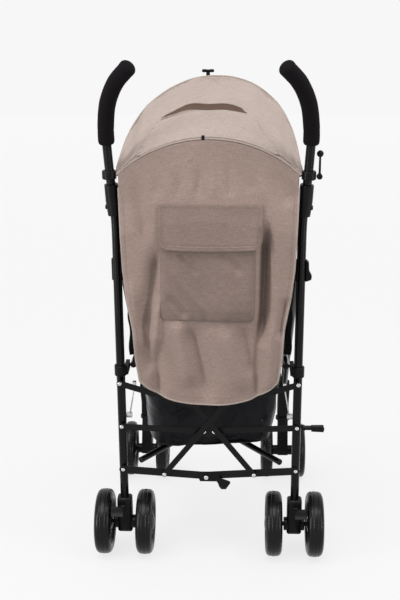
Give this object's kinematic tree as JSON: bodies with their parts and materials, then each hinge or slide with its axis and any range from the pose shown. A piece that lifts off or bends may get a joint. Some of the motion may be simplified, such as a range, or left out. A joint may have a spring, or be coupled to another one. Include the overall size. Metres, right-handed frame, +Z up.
{
  "type": "pushchair",
  "caption": "Umbrella-fold pushchair with twin castor wheels, scissor frame, foam crook handles, tilting cloth hood, rear panel with flap pocket, padded seat and under-seat basket.",
  "frame": {"origin": "on the floor, under the middle of the bounding box", "axes": "+Z up, +Y forwards in the direction of travel (away from whoever pushes), +X to the right as seen by whoever pushes"},
  "size_m": [0.4954, 0.7487, 1.0479],
  "materials": {
    "tube": "gloss black powder coat",
    "strip": "satin black powder coat",
    "plastic": "black moulded plastic",
    "foam": "black foam, fine skin",
    "tyre": "matte black",
    "hub": "dark blue-grey moulded plastic",
    "bright_rod": "zinc-plated",
    "canopy_cloth": "taupe linen-look weave",
    "panel_cloth": "taupe linen-look weave, in shade",
    "pocket_cloth": "taupe linen-look weave, flap and pocket",
    "lining": "black padded polyester",
    "basket_cloth": "black crumpled nylon",
    "webbing": "black polyester webbing with a moulded buckle"
  },
  "bodies": {
    "right_frame": {"push_tube_r": "tube", "grip_r": "foam", "coupler_r": "plastic", "canopy_clamp_r": "canopy_cloth", "hinge_bracket_r": "plastic", "seat_bracket_r": "plastic", "rear_housing_r": "plastic", "tie_rod_r": "bright_rod"},
    "left_frame": {"push_tube_l": "tube", "grip_l": "foam", "coupler_l": "plastic", "canopy_clamp_l": "canopy_cloth", "hinge_bracket_l": "plastic", "seat_bracket_l": "plastic", "rear_housing_l": "plastic", "tie_rod_l": "bright_rod"},
    "core": {"rear_panel": "panel_cloth", "pocket": "pocket_cloth", "backrest": "lining", "harness": "webbing"},
    "hood": {"canopy": "canopy_cloth", "canopy_hoop": "plastic"},
    "seat": {"seat_pad": "lining"},
    "basket": {"basket": "basket_cloth"},
    "lower_link_right": {"lower_link_r": "strip"},
    "mid_link_right": {"mid_link_r": "strip"},
    "top_link_right": {"top_link_r": "strip"},
    "cross_bar_right": {"x_bar_r": "strip"},
    "front_leg_right": {"front_leg_r": "tube", "caster_housing_r": "plastic"},
    "seat_rail_right": {"seat_rail_r": "tube"},
    "floor_bar_right": {"floor_bar_r": "tube"},
    "rear_wheels_right": {"rear_tyre_in_r": "tyre", "rear_tyre_out_r": "tyre", "rear_hubs_r": "hub"},
    "front_wheels_right": {"front_tyre_in_r": "tyre", "front_tyre_out_r": "tyre", "front_hubs_r": "hub"},
    "swivel_right": {"swivel_fork_r": "plastic"},
    "brake_right": {"brake_pedal_r": "plastic"},
    "lower_link_left": {"lower_link_l": "strip", "brace_housing": "plastic"},
    "mid_link_left": {"mid_link_l": "strip"},
    "top_link_left": {"top_link_l": "strip"},
    "cross_bar_left": {"x_bar_l": "strip"},
    "front_leg_left": {"front_leg_l": "tube", "caster_housing_l": "plastic"},
    "seat_rail_left": {"seat_rail_l": "tube"},
    "floor_bar_left": {"floor_bar_l": "tube"},
    "rear_wheels_left": {"rear_tyre_in_l": "tyre", "rear_tyre_out_l": "tyre", "rear_hubs_l": "hub"},
    "front_wheels_left": {"front_tyre_in_l": "tyre", "front_tyre_out_l": "tyre", "front_hubs_l": "hub"},
    "swivel_left": {"swivel_fork_l": "plastic"},
    "brake_left": {"brake_pedal_l": "plastic"},
    "centre_plate": {"centre_plate": "strip"},
    "side_latch": {"side_pedal": "plastic"},
    "latch_arm": {"latch_arm": "plastic"}
  },
  "joints": [
    {"name": "fold", "type": "slide", "parent": "right_frame", "child": "left_frame", "axis": [1, 0, 0], "range_m": [0, 0.212], "deforming": ["rear_panel", "pocket", "backrest", "harness", "canopy", "canopy_hoop", "seat_pad", "basket"]},
    {"name": "core_slide", "type": "slide", "parent": "right_frame", "child": "core", "axis": [1, 0, 0], "range_m": [0, 0.106]},
    {"name": "lower_link_right", "type": "hinge", "parent": "right_frame", "child": "lower_link_right", "pos_m": [0.1838, -0.16886, 0.203], "axis": [0, 0.9925, 0.1219], "range_deg": [0, 68.94]},
    {"name": "mid_link_right", "type": "hinge", "parent": "right_frame", "child": "mid_link_right", "pos_m": [0.1838, -0.18117, 0.30325], "axis": [0, 0.9925, 0.1219], "range_deg": [0, 69.86]},
    {"name": "top_link_right", "type": "hinge", "parent": "right_frame", "child": "top_link_right", "pos_m": [0.1838, -0.19384, 0.40647], "axis": [0, 0.9925, 0.1219], "range_deg": [0, 49.03]},
    {"name": "cross_bar_right", "type": "hinge", "parent": "lower_link_right", "child": "cross_bar_right", "pos_m": [0.095, -0.16812, 0.19696], "axis": [0, 0.9925, 0.1219], "range_deg": [-26.28, 0]},
    {"name": "front_leg_right", "type": "hinge", "parent": "right_frame", "child": "front_leg_right", "pos_m": [0.1772, -0.19732, 0.64815], "axis": [1, 0, 0], "range_deg": [-38.5, 0]},
    {"name": "seat_rail_right", "type": "hinge", "parent": "right_frame", "child": "seat_rail_right", "pos_m": [0.16, -0.16849, 0.42974], "axis": [1, 0, 0], "range_deg": [-80.48, 0]},
    {"name": "floor_bar_right", "type": "hinge", "parent": "front_leg_right", "child": "floor_bar_right", "pos_m": [0.1547, 0.28646, 0.248], "axis": [-0.6732, 0.6585, 0.3363], "range_deg": [0, 72.44]},
    {"name": "lower_link_left", "type": "hinge", "parent": "left_frame", "child": "lower_link_left", "pos_m": [-0.1838, -0.16886, 0.203], "axis": [0, 0.9925, 0.1219], "range_deg": [-68.94, 0]},
    {"name": "mid_link_left", "type": "hinge", "parent": "left_frame", "child": "mid_link_left", "pos_m": [-0.1838, -0.18117, 0.30325], "axis": [0, 0.9925, 0.1219], "range_deg": [-69.86, 0]},
    {"name": "top_link_left", "type": "hinge", "parent": "left_frame", "child": "top_link_left", "pos_m": [-0.1838, -0.19384, 0.40647], "axis": [0, 0.9925, 0.1219], "range_deg": [-49.03, 0]},
    {"name": "cross_bar_left", "type": "hinge", "parent": "lower_link_left", "child": "cross_bar_left", "pos_m": [-0.095, -0.16812, 0.19696], "axis": [0, 0.9925, 0.1219], "range_deg": [0, 26.28]},
    {"name": "front_leg_left", "type": "hinge", "parent": "left_frame", "child": "front_leg_left", "pos_m": [-0.1772, -0.19732, 0.64815], "axis": [1, 0, 0], "range_deg": [-38.5, 0]},
    {"name": "seat_rail_left", "type": "hinge", "parent": "left_frame", "child": "seat_rail_left", "pos_m": [-0.16, -0.16849, 0.42974], "axis": [1, 0, 0], "range_deg": [-80.48, 0]},
    {"name": "floor_bar_left", "type": "hinge", "parent": "front_leg_left", "child": "floor_bar_left", "pos_m": [-0.1547, 0.33035, 0.212], "axis": [-0.7633, -0.5208, -0.3822], "range_deg": [0, 61.27]},
    {"name": "centre_plate", "type": "hinge", "parent": "mid_link_left", "child": "centre_plate", "pos_m": [-0.0107, -0.18019, 0.29531], "axis": [0, 0.9925, 0.1219], "range_deg": [0, 69.86]},
    {"name": "seat_fold", "type": "hinge", "parent": "core", "child": "seat", "pos_m": [0, -0.16849, 0.42974], "axis": [1, 0, 0], "range_deg": [-80.48, 0]},
    {"name": "basket_fold", "type": "hinge", "parent": "core", "child": "basket", "pos_m": [0, -0.03253, 0.36], "axis": [1, 0, 0], "range_deg": [-80, 0]},
    {"name": "hood", "type": "hinge", "parent": "core", "child": "hood", "pos_m": [0, -0.24947, 0.83489], "axis": [1, 0, 0], "range_deg": [0, 35]},
    {"name": "rear_wheels_right", "type": "hinge", "parent": "right_frame", "child": "rear_wheels_right", "pos_m": [0.1838, -0.15253, 0.07], "axis": [1, 0, 0], "continuous": true},
    {"name": "swivel_right", "type": "hinge", "parent": "front_leg_right", "child": "swivel_right", "pos_m": [0.1772, 0.32947, 0.156], "axis": [0, 0, 1], "continuous": true},
    {"name": "front_wheels_right", "type": "hinge", "parent": "swivel_right", "child": "front_wheels_right", "pos_m": [0.1772, 0.30447, 0.07], "axis": [1, 0, 0], "continuous": true},
    {"name": "brake_right", "type": "hinge", "parent": "right_frame", "child": "brake_right", "pos_m": [0.1953, -0.17769, 0.11326], "axis": [1, 0, 0], "range_deg": [0, 20]},
    {"name": "rear_wheels_left", "type": "hinge", "parent": "left_frame", "child": "rear_wheels_left", "pos_m": [-0.1838, -0.15253, 0.07], "axis": [1, 0, 0], "continuous": true},
    {"name": "swivel_left", "type": "hinge", "parent": "front_leg_left", "child": "swivel_left", "pos_m": [-0.1772, 0.32947, 0.156], "axis": [0, 0, 1], "continuous": true},
    {"name": "front_wheels_left", "type": "hinge", "parent": "swivel_left", "child": "front_wheels_left", "pos_m": [-0.1772, 0.30447, 0.07], "axis": [1, 0, 0], "continuous": true},
    {"name": "brake_left", "type": "hinge", "parent": "left_frame", "child": "brake_left", "pos_m": [-0.1953, -0.17769, 0.11326], "axis": [1, 0, 0], "range_deg": [0, 20]},
    {"name": "side_latch", "type": "hinge", "parent": "right_frame", "child": "side_latch", "pos_m": [0.198, -0.18068, 0.29928], "axis": [0, 0.9925, 0.1219], "range_deg": [-30, 30]},
    {"name": "latch_arm", "type": "hinge", "parent": "right_frame", "child": "latch_arm", "pos_m": [0.2138, -0.25022, 0.83278], "axis": [0, 0.9925, 0.1219], "range_deg": [0, 110]}
  ],
  "couplings": [
    {"joint": "core_slide", "follows": "fold", "ratio": 0.5},
    {"joint": "lower_link_right", "follows": "fold", "rad_per_m": 5.6758},
    {"joint": "mid_link_right", "follows": "fold", "rad_per_m": 5.7517},
    {"joint": "top_link_right", "follows": "fold", "rad_per_m": 4.0366},
    {"joint": "cross_bar_right", "follows": "fold", "rad_per_m": -2.1637},
    {"joint": "front_leg_right", "follows": "fold", "rad_per_m": -3.1696},
    {"joint": "seat_rail_right", "follows": "fold", "rad_per_m": -6.6254},
    {"joint": "floor_bar_right", "follows": "fold", "rad_per_m": 5.9635},
    {"joint": "lower_link_left", "follows": "fold", "rad_per_m": -5.6758},
    {"joint": "mid_link_left", "follows": "fold", "rad_per_m": -5.7517},
    {"joint": "top_link_left", "follows": "fold", "rad_per_m": -4.0366},
    {"joint": "cross_bar_left", "follows": "fold", "rad_per_m": 2.1637},
    {"joint": "front_leg_left", "follows": "fold", "rad_per_m": -3.1696},
    {"joint": "seat_rail_left", "follows": "fold", "rad_per_m": -6.6254},
    {"joint": "floor_bar_left", "follows": "fold", "rad_per_m": 5.0438},
    {"joint": "centre_plate", "follows": "fold", "rad_per_m": 5.7517},
    {"joint": "seat_fold", "follows": "fold", "rad_per_m": -6.6254},
    {"joint": "basket_fold", "follows": "fold", "rad_per_m": -6.5861}
  ]
}
